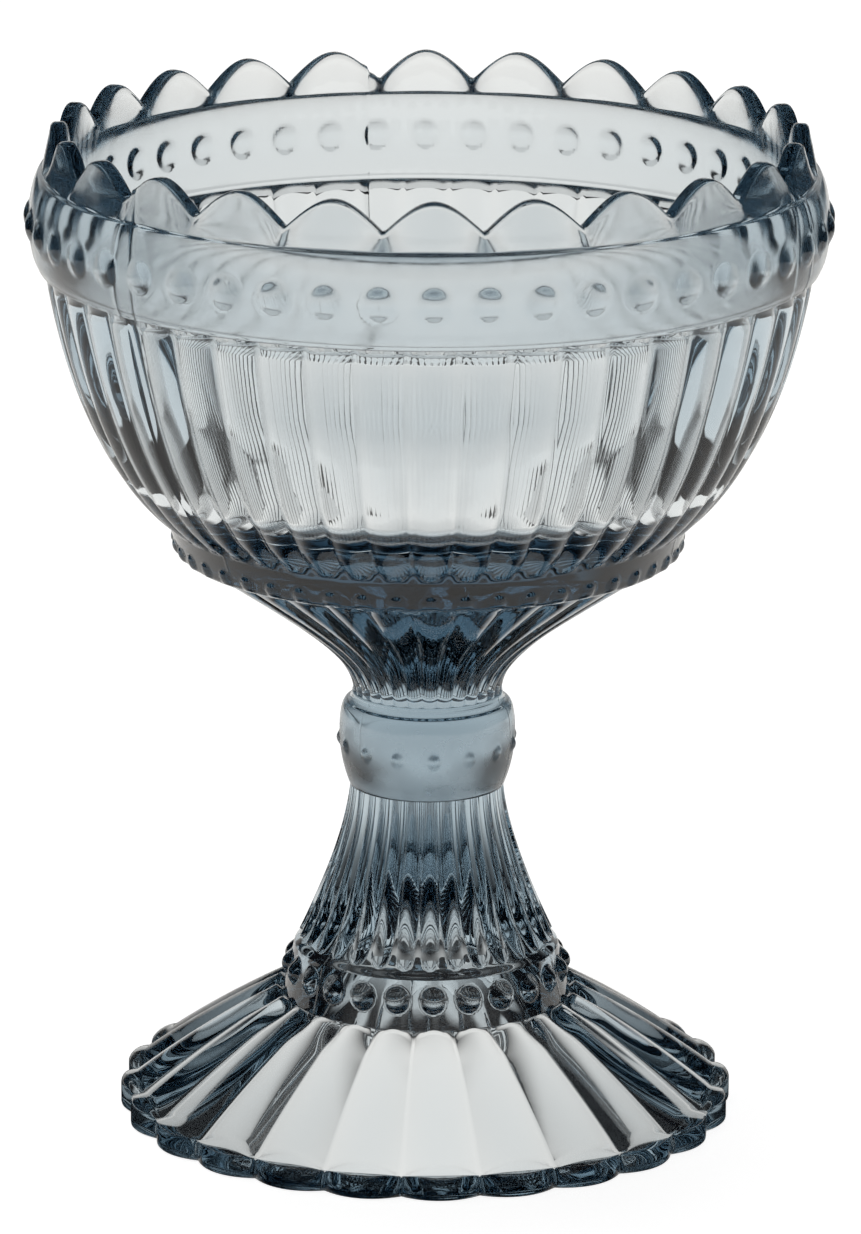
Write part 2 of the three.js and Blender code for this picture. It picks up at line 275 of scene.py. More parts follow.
class NeckSizes(bpy.types.PropertyGroup):
    """Sizes of the flared neck."""

    low_radius: length("Low radius", "Radius at the knop", 11.4)
    waist_height: length("Waist height", "Height of the narrow part", 6.5)
    flare_radius: length("Flare radius", "Radius of the curve's flare", 22.8)
    flare_height: length("Flare height", "Height of the curve's flare", 12.8)
    top_radius: length("Top radius", "Radius under the bowl", 36.6)
    flutes: number("Flutes", "Number of flutes", 30)
    flute_depth: length("Flute depth", "Depth of the valleys at the knop", 0.45)
    flute_top_depth: length("Flute top depth", "Depth of the valleys under the bowl", 1.6)
    azimuth: turn("Turn", "Azimuth of a flute's crest", 1.9)


class BowlSizes(bpy.types.PropertyGroup):
    """Sizes of the bowl: base ring, fluted cup, beaded band and scalloped crown."""

    ring_height: length("Ring height", "Height of the base ring", 5.5)
    ring_low_radius: length("Ring low radius", "Radius of the base ring at the neck", 38.3)
    ring_top_radius: length("Ring top radius", "Radius of the base ring at the cup", 39.8)
    ring_edge: length("Ring edge", "Bevel along the base ring's edges", 0.4)
    ring_beads: number("Ring beads", "Number of small beads round the base ring", 48)
    ring_bead_radius: length("Ring bead radius", "Radius of a small bead", 1.4)
    ring_bead_rise: length("Ring bead rise", "How far a small bead stands out", 0.6)
    ring_bead_height: length("Ring bead height", "Height of the small beads above the joint", 1.3)
    cup_height: length("Cup height", "Height of the fluted cup", 39.1)
    cup_low_radius: length("Cup low radius", "Radius of the cup at the base ring", 40.6)
    cup_bulge_radius: length("Cup bulge radius", "Radius of the cup's bend", 53.6)
    cup_bulge_height: length("Cup bulge height", "Height of the cup's bend above the base ring", 11.0)
    cup_top_radius: length("Cup top radius", "Radius of the cup under the band", 58.3)
    inside_radius: length("Inside radius", "Radius inside the bowl at the band's top", 54.4)
    inside_lean_high: turn("Inside lean, high", "Lean of the inside behind the band", 5.0)
    inside_lean_middle: turn("Inside lean, middle", "Lean of the inside behind the upper flutes", 17.5)
    inside_lean_low: turn("Inside lean, low", "Lean of the inside behind the lower flutes", 10.0)
    inside_bend_high: length("Inside bend, high", "Height of the upper change of lean above the base", 45.0)
    inside_bend_low: length("Inside bend, low", "Height of the lower change of lean above the base", 29.0)
    inside_bend_round: length("Inside bend round", "Height over which each change of lean is rounded", 8.0)
    flutes: number("Flutes", "Number of flutes round the cup", 48)
    flute_depth: length("Flute depth", "Depth of the valleys between the flutes", 1.0)
    tongue_notch: length("Tongue notch", "How far the valleys rise where the flutes end in tongues", 0.6)
    floor_thickness: length("Floor thickness", "Thickness of the bowl's floor", 8.5)
    floor_corner: length("Floor corner", "Height of the rounding at the floor", 7.0)
    floor_corner_run: length("Floor corner run", "Width of the rounding at the floor", 20.0)
    band_height: length("Band height", "Height of the beaded band", 14.2)
    band_low_radius: length("Band low radius", "Radius of the band's lower edge", 59.3)
    band_lip: length("Band lip", "Rounding along the band's lower edge", 0.6)
    band_radius: length("Band radius", "Radius of the band's girth, where the beads sit", 60.4)
    band_face_radius: length("Band face radius", "Radius that the band's face bends towards", 60.9)
    band_top_radius: length("Band top radius", "Radius of the band's upper edge", 58.9)
    band_beads: number("Band beads", "Number of beads round the band", 48)
    band_bead_radius: length("Band bead radius", "Radius of a bead", 2.65)
    band_bead_rise: length("Band bead rise", "How far a bead stands out", 0.8)
    crown_low_radius: length("Crown low radius", "Radius of the crown at the band", 58.5)
    crown_top_radius: length("Crown top radius", "Radius of the crown at its top", 57.1)
    crown_wall: length("Crown wall", "Thickness of the crown", 2.6)
    crown_edge: length("Crown edge", "Rounding along the crown's top", 0.8)
    scallops: number("Scallops", "Number of scallops round the crown", 24)
    scallop_depth: length("Scallop depth", "Height of a scallop", 4.6)
    scallop_round: amount("Scallop round", "0 for sharp valleys between scallops, 1 for a wave", 0.25)
    azimuth: turn("Turn", "Azimuth of a scallop's peak", 0.7)


class GlassLook(bpy.types.PropertyGroup):
    """Colour and polish of the glass."""

    tint: colour("Tint", "Light that deep glass lets through", "8cb1c3")
    density: amount("Density", "Strength of the tint in each metre of glass", 57.0)
    ior: amount("IOR", "Index of refraction of soda-lime glass", 1.52, least=1.0)
    bowl_haze: amount("Bowl haze", "Roughness of the dulled skin on the band and the crown", 0.15)
    knop_haze: amount("Knop haze", "Roughness of the dulled skin on the knop", 0.32)


class StageLook(bpy.types.PropertyGroup):
    """Colours of the floor and of the studio round the bowl."""

    white: colour("White", "Colour of the floor and the backdrop", "ffffff")
    paper: colour("Paper", "Colour of the paper that the glass shows", "fcfaf6")
    backdrop: colour("Backdrop", "Colour of the paper's rise behind the bowl", "e0dfdc")
    dark: colour("Dark", "Colour of the studio beside and above the paper", "141315")
    floor_radius: length("Floor radius", "Radius of the floor", 4000.0)
    paper_width: length("Paper width", "Half the width of the paper under the bowl", 700.0)
    paper_far_width: length("Paper far width", "Half the width of the paper behind the bowl", 300.0)
    contact_radius: length("Contact radius", "Radius of the foot's line of contact with the paper", 47.3)


class DessertBowlSettings(bpy.types.PropertyGroup):
    """All sizes and colours of the dessert bowl."""

    foot: bpy.props.PointerProperty(type=FootSizes)
    stem: bpy.props.PointerProperty(type=StemSizes)
    knop: bpy.props.PointerProperty(type=KnopSizes)
    neck: bpy.props.PointerProperty(type=NeckSizes)
    bowl: bpy.props.PointerProperty(type=BowlSizes)
    glass: bpy.props.PointerProperty(type=GlassLook)
    stage: bpy.props.PointerProperty(type=StageLook)


# One row of an outline. relief gives how far the surface moves at an azimuth, as (outwards, up).
# fused marks the strip from this row to the next as a fused joint, uneven tells how far the glass wanders
# from its true shape, and chill how far the mould's cold skin has dulled it.
Row = namedtuple("Row", "radius height relief fused uneven chill", defaults=(None, False, 1.0, 0.0))


def lerp(a, b, share):
    """The value at a share of the way from a to b."""
    return a + (b - a) * share


def ease(value, low, high):
    """0 up to low and 1 from high on, with a smooth rise between."""
    share = min(max((value - low) / (high - low), 0.0), 1.0)
    return share * share * (3 - 2 * share)


def bend(points, share):
    """The point at a share of the Bezier curve that has these control points."""
    points = [Vector(point) for point in points]
    while len(points) > 1:
        points = [a.lerp(b, share) for a, b in zip(points, points[1:])]
    return points[0]


def shares(steps, first=0):
    """Even shares of a whole, from 0 to 1, or from the first step on."""
    return [index / steps for index in range(first, steps + 1)]


def along(line, steps, first=0, crowding=1.0):
    """Steps along a Bezier curve, each as its share, radius and height. crowding draws them to the start."""
    places = []
    for share in shares(steps, first):
        radius, height = bend(line, share ** crowding)
        places.append((share, radius, height))
    return places


def off_crest(azimuth, count, start):
    """How far an azimuth is from the nearest of count crests, from -0.5 to 0.5 of their spacing."""
    place = (azimuth - start) * count / FULL_TURN
    return place - round(place)


def valley(azimuth, count, start):
    """0 on the crest of a convex lobe and 1 in the sharp valley between two."""
    return (2 * off_crest(azimuth, count, start)) ** 2


def flute_relief(count, start, depth, rise=0.0):
    """The relief of a row of convex flutes: their valleys are cut in by depth and lifted by rise."""
    def relief(azimuth):
        share = valley(azimuth, count, start)
        return -depth * share, rise * share
    return relief


def bead_relief(off_height, count, start, ring_radius, radius, rise, melt=1.0):
    """The relief of a row that runs off_height above the middles of a ring of round beads.

    Over 1, melt runs the edges of the beads into the face.
    """
    def relief(azimuth):
        off_side = off_crest(azimuth, count, start) * FULL_TURN * ring_radius / count
        inside = 1 - (off_side ** 2 + off_height ** 2) / radius ** 2
        outwards = rise * inside ** melt if inside > 0 else 0.0
        return outwards, 0.0
    return relief


def seam_pull(azimuth, radius, columns):
    """A new azimuth and a rise for a point by a mould seam: columns beside it close in on its ridge."""
    spacing = FULL_TURN / columns
    for seam in SEAM_AZIMUTHS:
        ridge = round(seam / spacing) * spacing
        off = (azimuth - ridge + math.pi) % FULL_TURN - math.pi
        if abs(off) < 0.5 * spacing:
            return azimuth, SEAM_RISE
        if abs(off) < 1.5 * spacing:
            return ridge + math.copysign(min(SEAM_HALF_WIDTH / radius, spacing), off), 0.0
    return azimuth, 0.0


def wander(place, unevenness):
    """How far pressed glass lies off its true shape."""
    return unevenness * (noise.noise(place / LONG_WAVE) + SHORT_WAVE_SHARE * noise.noise(place / SHORT_WAVE))


def shape_vert(vert, row, columns, unevenness):
    """Moves a vertex of the plain turned shape to its place on the flutes, beads, scallops and seams."""
    if row.radius <= 0:
        return
    azimuth = math.atan2(vert.co.x, -vert.co.y)
    outwards, up = row.relief(azimuth) if row.relief else (0.0, 0.0)
    if row.uneven:
        azimuth, ridge = seam_pull(azimuth, row.radius, columns)
        outwards += row.uneven * (ridge + wander(vert.co, unevenness))
    radius = row.radius + outwards
    vert.co = (radius * math.sin(azimuth), -radius * math.cos(azimuth), row.height + up)


def spin_outline(bm, rows, sectors, closed):
    """Turns the plain outline about the axis through one sector, and then repeats the sector all round."""
    sector_count, sector_columns = sectors
    sector = FULL_TURN / sector_count
    row_of = bm.verts.layers.int["row"]
    outline = [bm.verts.new((0, -row.radius, row.height)) for row in rows]
    for index, vert in enumerate(outline):
        vert[row_of] = index
    ends = outline[1:] + outline[:1] if closed else outline[1:]
    edges = [bm.edges.new(pair) for pair in zip(outline, ends)]
    bmesh.ops.spin(
        bm, geom=outline + edges, cent=(0, 0, 0), axis=(0, 0, 1), angle=sector, steps=sector_columns)
    bmesh.ops.spin(
        bm, geom=bm.verts[:] + bm.edges[:] + bm.faces[:], cent=(0, 0, 0), axis=(0, 0, 1),
        angle=FULL_TURN - sector, steps=sector_count - 1, use_duplicate=True)
    bmesh.ops.remove_doubles(bm, verts=bm.verts, dist=JOINT_GAP / 10)


def mark_joints(bm, rows, closed):
    """Marks the strips that are fused joints, and shades everything smooth but their borders."""
    row_of = bm.verts.layers.int["row"]
    fused = bm.faces.layers.float["fused_joint"]
    last = len(rows) - 1
    for face in bm.faces:
        face.smooth = True
        numbers = {vert[row_of] for vert in face.verts}
        lowest = last if closed and numbers == {0, last} else min(numbers)
        face[fused] = 1.0 if rows[lowest].fused else 0.0
    for edge in bm.edges:
        edge.smooth = len({face[fused] for face in edge.link_faces}) == 1


def mesh_from(bm, name):
    """A mesh of the shape that was built up, which is let go."""
    mesh = bpy.data.meshes.new(name)
    bm.to_mesh(mesh)
    bm.free()
    return mesh


def add_object(name, data):
    """A new object in the scene."""
    thing = bpy.data.objects.new(name, data)
    bpy.context.scene.collection.objects.link(thing)
    return thing


def turned_section(name, rows, sectors, closed=False, unevenness=UNEVENNESS):
    """Spins an outline about the axis into one section of glass."""
    bm = bmesh.new()
    bm.verts.layers.int.new("row")
    bm.verts.layers.float.new("chill")
    bm.faces.layers.float.new("fused_joint")
    spin_outline(bm, rows, sectors, closed)
    row_of = bm.verts.layers.int["row"]
    chill = bm.verts.layers.float["chill"]
    columns = sectors[0] * sectors[1]
    for vert in bm.verts:
        row = rows[vert[row_of]]
        shape_vert(vert, row, columns, unevenness)
        vert[chill] = row.chill
    bmesh.ops.recalc_face_normals(bm, faces=bm.faces)
    mark_joints(bm, rows, closed)
    bm.verts.layers.int.remove(bm.verts.layers.int["row"])
    return add_object(name, mesh_from(bm, name))


def place_section(piece, node, material):
    """Gives a section its glass and its place in the frame, where it stands for a CAD node."""
    piece.data.materials.append(material)
    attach(piece, "root")
    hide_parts(node)


def shoulder_rows(s, stem):
    """The fused top of the foot and its beaded shoulder."""
    joint = STEM_BASE - JOINT_GAP / 2
    bead_height = STEM_BASE - s.bead_drop
    rows = [
        Row(s.hollow_radius, joint, fused=True, uneven=0.0),
        Row(stem.low_radius, joint, uneven=0.0),
    ]
    for share in shares(SHOULDER_STEPS, first=1):
        radius = lerp(stem.low_radius, s.lobe_top_radius - s.lobe_crown, share)
        height = lerp(STEM_BASE, s.lobe_top_height, share)
        beads = bead_relief(
            height - bead_height, s.beads, s.azimuth, stem.low_radius, s.bead_radius, s.bead_rise)
        rows.append(Row(radius, height, beads))
    return rows


def skirt_rows(s):
    """The lobed skirt of the foot. Its lobes have arched tops."""
    nose_height = s.rim_height + s.nose_rise
    nose_radius = s.radius - s.nose_width
    crown = (
        (nose_radius + s.lobe_top_radius) / 2 + s.lobe_crown,
        (nose_height + s.lobe_top_height) / 2 + s.lobe_crown,
    )
    line = [
        (s.lobe_top_radius, s.lobe_top_height + s.lobe_top_depth), crown, (nose_radius, nose_height)]

    def lobes(share):
        depth = lerp(s.lobe_top_depth, s.lobe_depth, share)
        arch = s.lobe_arch * (1 - ease(share, 0.0, LOBE_ARCH_END))
        return lambda azimuth: (0.0, -(depth + arch) * valley(azimuth, s.lobes, s.azimuth))

    return [Row(radius, height, lobes(share)) for share, radius, height in along(line, SKIRT_STEPS)]


def rim_rows(s):
    """The rounded nose below the skirt and the upright scalloped rim, down to the table."""
    nose_height = s.rim_height + s.nose_rise
    nose_radius = s.radius - s.nose_width
    wall_top = s.rim_height - s.edge
    nose_line = [(nose_radius, nose_height), (s.radius, nose_height - s.edge), (s.radius, wall_top)]
    edge_line = [(s.radius, s.edge), (s.radius, 0.0), (s.radius - s.edge, 0.0)]

    def toes(share):
        def relief(azimuth):
            dip = valley(azimuth, s.lobes, s.azimuth)
            return -s.rim_scallop * dip * share, -s.lobe_depth * dip * (1 - share)
        return relief

    rim = toes(1.0)
    rows = []
    for share, radius, height in along(nose_line, NOSE_STEPS, first=1):
        rows.append(Row(radius, height, toes(share)))
    for share in shares(RIM_STEPS, first=1):
        rows.append(Row(s.radius, lerp(wall_top, s.edge, share), rim))
    for _, radius, height in along(edge_line, EDGE_STEPS, first=1):
        rows.append(Row(radius, height, rim, uneven=0.0))
    return rows


def hollow_rows(s):
    """The inner edge of the ring that the foot stands on, and the hollow up to the stem."""
    rest_radius = s.radius - s.rest_width
    bevel = s.edge / 3
    line = [
        (rest_radius, 0.0), (s.hollow_bend_radius, s.hollow_bend_height), (s.hollow_radius, STEM_BASE)]
    rows = [Row(rest_radius + s.edge, 0.0, uneven=0.0)]
    for share, radius, height in along(line, HOLLOW_STEPS)[:-1]:
        rows.append(Row(radius, max(height, bevel * (1 - share))))
    return rows


def reed_relief(s, z):
    """The stem's convex flutes. Low down they part into fingers with rounded tips and open valleys."""
    tip = STEM_BASE + s.finger_height
    parting = tip + s.finger_length
    full_depth = tip + 2 * s.finger_round
    gap = s.finger_gap * s.flutes / (FULL_TURN * s.low_radius)
    width = 1 - gap * (1 - ease(z, tip, parting))
    if z < tip + s.finger_round:
        off_round = min((tip + s.finger_round - z) / s.finger_round, 1.0)
        width *= math.sqrt(1 - off_round ** 2)
    depth = lerp(s.finger_step, s.flute_depth, ease(z, tip, full_depth))
    depth *= ease(z, STEM_BASE, tip)
    depth = lerp(depth, s.flute_top_depth, ease(z, full_depth, KNOP_BASE))

    def relief(azimuth):
        off = abs(2 * off_crest(azimuth, s.flutes, s.azimuth))
        return -depth * min((off / max(width, LEAST_FINGER_WIDTH)) ** 2, 1.0), 0.0
    return relief


def stem_rows(s, foot):
    """The hollow's dome, the joint to the foot, the fluted outside and the joint to the knop."""
    joint = STEM_BASE + JOINT_GAP / 2
    top = KNOP_BASE - JOINT_GAP / 2
    rows = []
    for share in shares(DOME_STEPS):
        angle = share * QUARTER_TURN
        rows.append(Row(foot.hollow_radius * math.sin(angle), joint + s.dome_rise * math.cos(angle)))
    rows[-1] = Row(foot.hollow_radius, joint, fused=True, uneven=0.0)
    rows.append(Row(s.low_radius, joint, uneven=0.0))
    line = [
        (s.low_radius, STEM_BASE), (s.bend_radius, STEM_BASE + s.bend_height), (s.top_radius, KNOP_BASE)]
    for _, radius, height in along(line, STEM_STEPS, first=1, crowding=STEM_CROWDING):
        rows.append(Row(radius, height, reed_relief(s, height)))
    rows[-1] = Row(s.top_radius, top, reed_relief(s, KNOP_BASE), fused=True, uneven=0.0)
    rows.append(Row(0.0, top))
    return rows


def knop_rows(s, stem, neck):
    """The joint to the stem, the beaded girth, the shoulder, the lid and the joint to the neck."""
    joint = KNOP_BASE + JOINT_GAP / 2
    top = NECK_BASE - JOINT_GAP / 2
    girth = KNOP_BASE + s.girth_height
    shoulder = KNOP_BASE + s.shoulder_height
    bead_height = KNOP_BASE + s.bead_height
    stem_flutes = flute_relief(stem.flutes, stem.azimuth, stem.flute_top_depth)
    neck_flutes = flute_relief(neck.flutes, neck.azimuth, neck.flute_depth)
    lower = [(s.low_radius, KNOP_BASE), (s.radius, KNOP_BASE + s.girth_height / 2), (s.radius, girth)]
    upper = [(s.radius, girth), (s.radius, shoulder), (s.shoulder_radius, shoulder)]
    lid = [(s.shoulder_radius, shoulder), (s.top_radius, shoulder + s.lid_rise), (s.top_radius, NECK_BASE)]

    def beads(z):
        return bead_relief(
            z - bead_height, s.beads, s.azimuth, s.radius, s.bead_radius, s.bead_rise, BEAD_MELT)

    rows = [
        Row(0.0, joint, fused=True),
        Row(stem.top_radius, joint, stem_flutes, uneven=0.0),
        Row(s.low_radius, joint, uneven=0.0),
    ]
    for _, radius, height in along(lower, KNOP_GIRTH_STEPS, first=1):
        rows.append(Row(radius, height, beads(height), chill=1.0))
    for share, radius, height in along(upper, KNOP_SHOULDER_STEPS, first=1):
        rows.append(Row(radius, height, beads(height), chill=1 - ease(share, *KNOP_CHILL_FADE)))
    for _, radius, height in along(lid, KNOP_LID_STEPS, first=1):
        rows.append(Row(radius, height))
    rows[-1] = Row(s.top_radius, top, uneven=0.0)
    rows.append(Row(neck.low_radius, top, neck_flutes, fused=True, uneven=0.0))
    rows.append(Row(0.0, top))
    return rows


def neck_rows(s):
    """The joint to the knop, the fluted flare and the joint to the bowl."""
    joint = NECK_BASE + JOINT_GAP / 2
    top = BOWL_BASE - JOINT_GAP / 2
    line = [
        (s.low_radius, NECK_BASE), (s.low_radius, NECK_BASE + s.waist_height),
        (s.flare_radius, NECK_BASE + s.flare_height), (s.top_radius, BOWL_BASE)]
    rows = [
        Row(0.0, joint, fused=True),
        Row(s.low_radius, joint, flute_relief(s.flutes, s.azimuth, s.flute_depth), uneven=0.0),
    ]
    for share, radius, height in along(line, NECK_STEPS, first=1):
        depth = lerp(s.flute_depth, s.flute_top_depth, share) * (1 - ease(share, NECK_FLUTE_FADE, 1.0))
        rows.append(Row(radius, height, flute_relief(s.flutes, s.azimuth, depth)))
    rows[-1] = Row(s.top_radius, top, fused=True, uneven=0.0)
    rows.append(Row(0.0, top))
    return rows


def ring_rows(s, neck):
    """The fused underside of the bowl and the base ring with its small beads."""
    joint = BOWL_BASE + JOINT_GAP / 2
    bead_height = BOWL_BASE + s.ring_bead_height
    rows = [
        Row(0.0, joint, fused=True),
        Row(neck.top_radius, joint, uneven=0.0),
        Row(s.ring_low_radius - s.ring_edge, joint, uneven=0.0),
    ]
    for share in shares(RING_STEPS):
        radius = lerp(s.ring_low_radius, s.ring_top_radius, share)
        height = BOWL_BASE + lerp(s.ring_edge, s.ring_height - s.ring_edge, share)
        beads = bead_relief(
            height - bead_height, s.ring_beads, s.azimuth, s.ring_low_radius, s.ring_bead_radius,
            s.ring_bead_rise)
        rows.append(Row(radius, height, beads))
    return rows


def cup_rows(s):
    """The fluted outside of the cup. The flutes end in short tongues over the base ring."""
    low = BOWL_BASE + s.ring_height
    line = [
        (s.cup_low_radius, low), (s.cup_bulge_radius, low + s.cup_bulge_height),
        (s.cup_top_radius, low + s.cup_height)]
    rows = []
    for share, radius, height in along(line, CUP_STEPS):
        notch = s.tongue_notch * (1 - ease(share, 0.0, TONGUE_END))
        rows.append(Row(radius, height, flute_relief(s.flutes, s.azimuth, s.flute_depth, notch)))
    return rows


def band_rows(s):
    """The rounded lip and the face of the beaded band, which stands out over the flutes."""
    low = BOWL_BASE + s.ring_height + s.cup_height
    top = low + s.band_height
    bead_height = low + s.band_height / 2
    # The face bends in over a fifth of its height at either edge
    edge = s.band_height / 5
    line = [
        (s.band_low_radius, low + s.band_lip), (s.band_face_radius, low + edge),
        (s.band_face_radius, top - edge), (s.band_top_radius, top)]
    rows = []
    for share in shares(LIP_STEPS)[:-1]:
        angle = share * QUARTER_TURN
        radius = s.band_low_radius - s.band_lip * (1 - math.sin(angle))
        rows.append(Row(radius, low + s.band_lip * (1 - math.cos(angle))))
    for _, radius, height in along(line, BAND_STEPS):
        beads = bead_relief(
            height - bead_height, s.band_beads, s.azimuth, s.band_radius, s.band_bead_radius,
            s.band_bead_rise, BEAD_MELT)
        rows.append(Row(radius, height, beads, chill=1.0))
    return rows


def crown_rows(s):
    """The scalloped crown, from the ledge on the band over its rounded top to its inside."""
    low = BOWL_BASE + s.ring_height + s.cup_height + s.band_height
    wall_height = BOWL_TOP - low - s.crown_edge
    inside = s.crown_top_radius - s.crown_wall

    def scallops(share):
        def relief(azimuth):
            off = abs(2 * off_crest(azimuth, s.scallops, s.azimuth))
            wave = (1 - math.cos(math.pi * off)) / 2
            return 0.0, -s.scallop_depth * share * lerp(off ** 2, wave, s.scallop_round)
        return relief

    rows = []
    for share in shares(CROWN_STEPS):
        radius = lerp(s.crown_low_radius, s.crown_top_radius, share)
        rows.append(Row(radius, low + wall_height * share, scallops(share), chill=1.0))
    for share in shares(CROWN_EDGE_STEPS, first=1):
        angle = share * QUARTER_TURN
        radius = s.crown_top_radius - s.crown_edge * (1 - math.cos(angle))
        rows.append(Row(radius, low + wall_height + s.crown_edge * math.sin(angle), scallops(1.0)))
    for share in shares(CROWN_EDGE_STEPS):
        angle = share * QUARTER_TURN
        radius = inside + s.crown_edge * (1 - math.sin(angle))
        rows.append(Row(radius, low + wall_height + s.crown_edge * math.cos(angle), scallops(1.0)))
    for share in shares(CROWN_INSIDE_STEPS, first=1):
        radius = lerp(inside, s.inside_radius, share)
        rows.append(Row(radius, low + wall_height * (1 - share), scallops(1 - share)))
    return rows


def inside_rows(s):
    """The inside of the bowl: a plain wall that leans in three stretches, rounded into a flat floor."""
    floor = BOWL_BASE + s.floor_thickness
    low = floor + s.floor_corner
    top = BOWL_BASE + s.ring_height + s.cup_height + s.band_height
    half_round = s.inside_bend_round / 2

    def lean(z):
        above_base = z - BOWL_BASE
        upper = ease(above_base, s.inside_bend_high - half_round, s.inside_bend_high + half_round)
        middle = ease(above_base, s.inside_bend_low - half_round, s.inside_bend_low + half_round)
        return lerp(lerp(s.inside_lean_low, s.inside_lean_middle, middle), s.inside_lean_high, upper)

    rows = []
    step = (top - low) / INSIDE_STEPS
    wall = s.inside_radius
    for share in shares(INSIDE_STEPS, first=1):
        height = lerp(top, low, share)
        wall -= step * math.tan(lean(height + step / 2))
        rows.append(Row(wall, height))
    corner_radius = wall - s.floor_corner * math.tan(s.inside_lean_low)
    corner = [(wall, low), (corner_radius, floor), (corner_radius - s.floor_corner_run, floor)]
    for _, radius, height in along(corner, CORNER_STEPS, first=1):
        rows.append(Row(radius, height))
    rows.append(Row(0.0, floor))
    return rows


def empty_tree(owner):
    """The node tree of a material or a world, cleared of the nodes that it starts with."""
    owner.use_nodes = True
    owner.node_tree.nodes.clear()
    return owner.node_tree


def add_node(tree, kind, settings=None, inputs=None, links=None):
    """Adds a node with its settings, its input values and the sockets that feed its inputs."""
    node = tree.nodes.new(kind)
    for name, value in (settings or {}).items():
        setattr(node, name, value)
    for name, value in (inputs or {}).items():
        node.inputs[name].default_value = value
    for name, socket in (links or {}).items():
        tree.links.new(socket, node.inputs[name])
    return node


def remap(tree, value, source, target, curve="LINEAR"):
    """A value carried from one range into another, on a straight line or a smooth step."""
    ranges = {"From Min": source[0], "From Max": source[1], "To Min": target[0], "To Max": target[1]}
    return add_node(
        tree, "ShaderNodeMapRange", {"interpolation_type": curve}, ranges, {"Value": value}).outputs["Result"]


def ramp(tree, value, low, high):
    """A smooth rise of a value from 0 at low to 1 at high."""
    return remap(tree, value, (low, high), (0.0, 1.0), "SMOOTHSTEP")


def calculate(tree, operation, first, second):
    """The result of a sum on two sockets."""
    return add_node(
        tree, "ShaderNodeMath", {"operation": operation}, {}, {0: first, 1: second}).outputs["Value"]


def product(tree, first, *others):
    """Two or more sockets multiplied together."""
    result = first
    for other in others:
        result = calculate(tree, "MULTIPLY", result, other)
    return result


def blend(tree, share, first, second):
    """A colour between two colours, each a plain colour or a socket. A Mix node keeps colours in 6 and 7."""
    inputs = {}
    links = {0: share}
    for socket, value in ((6, first), (7, second)):
        if isinstance(value, bpy.types.NodeSocket):
            links[socket] = value
        else:
            inputs[socket] = (*value, 1)
    return add_node(tree, "ShaderNodeMix", {"data_type": "RGBA"}, inputs, links).outputs[2]


def smoke_glass(name, look, haze=0.0):
    """Soda-lime glass tinted smoky blue, pressed in an iron mould and fire polished.

    Thick parts turn a deep blue-grey. The skin ripples very slightly, and haze is how far its polish falls
    short of a mirror where the mould has chilled it. Fused joints bend no light, so they don't show.
    """
    material = bpy.data.materials.new(name)
    tree = empty_tree(material)
    place = add_node(tree, "ShaderNodeTexCoord").outputs["Object"]
    fused = add_node(tree, "ShaderNodeAttribute", {"attribute_name": "fused_joint"}).outputs["Fac"]
    chill = add_node(tree, "ShaderNodeAttribute", {"attribute_name": "chill"}).outputs["Fac"]
    ior = remap(tree, fused, (0.0, 1.0), (look.ior, JOINT_IOR))
    ripple = add_node(
        tree, "ShaderNodeTexNoise", {}, {"Scale": 1 / RIPPLE_WIDTH, "Detail": RIPPLE_DETAIL},
        {"Vector": place}).outputs["Fac"]
    skin = add_node(
        tree, "ShaderNodeBump", {}, {"Strength": 1.0, "Distance": RIPPLE_HEIGHT},
        {"Height": ripple}).outputs["Normal"]
    dull = remap(tree, ripple, RIPPLE_RANGE, (DULL_LEAST * haze, DULL_MOST * haze))
    surface = add_node(
        tree, "ShaderNodeBsdfPrincipled", {}, {"Base Color": (1, 1, 1, 1), "Transmission Weight": 1.0},
        {"IOR": ior, "Normal": skin, "Roughness": product(tree, dull, chill)}).outputs["BSDF"]
    tint = add_node(
        tree, "ShaderNodeVolumeAbsorption", {},
        {"Color": (*look.tint, 1), "Density": look.density}).outputs["Volume"]
    add_node(tree, "ShaderNodeOutputMaterial", {}, {}, {"Surface": surface, "Volume": tint})
    return material


def paper_in_glass(tree, look):
    """Colour of the floor as the glass shows it: paper with edges, a painted shadow behind the bowl and a
    painted contact shadow round the foot.
    """
    place = add_node(tree, "ShaderNodeTexCoord").outputs["Object"]
    parts = add_node(tree, "ShaderNodeSeparateXYZ", {}, {}, {0: place}).outputs
    reach = add_node(tree, "ShaderNodeVectorMath", {"operation": "LENGTH"}, {}, {0: place}).outputs["Value"]
    aside = add_node(tree, "ShaderNodeMath", {"operation": "ABSOLUTE"}, {}, {0: parts["X"]}).outputs["Value"]
    contact = look.contact_radius
    under = product(
        tree,
        ramp(tree, reach, contact, UNDER_EDGE_SHARE * contact),
        ramp(tree, aside, UNDER_SIDE_SHARE * contact, 0.0),
        ramp(tree, parts["Y"], *UNDER_BACK))
    # Painted contact shadow: the paper is dark at the foot's line of contact and clears to light further out
    clear = ramp(tree, reach, CONTACT_SHADOW_SHARES[0] * contact, CONTACT_SHADOW_SHARES[1] * contact)
    shadow = product(
        tree,
        ramp(tree, parts["Y"], *SHADOW_NEAR),
        ramp(tree, parts["Y"], *SHADOW_FAR),
        ramp(tree, aside, *SHADOW_SIDES))
    shade = remap(tree, shadow, (0.0, 1.0), (1.0, SHADOW_SHADE))
    lit = calculate(tree, "MAXIMUM", under, product(tree, clear, shade))
    width = remap(tree, parts["Y"], PAPER_NARROWS, (look.paper_width, look.paper_far_width), "SMOOTHSTEP")
    on_paper = ramp(tree, calculate(tree, "DIVIDE", aside, width), *PAPER_EDGE)
    return blend(tree, product(tree, lit, on_paper), look.dark, look.paper)


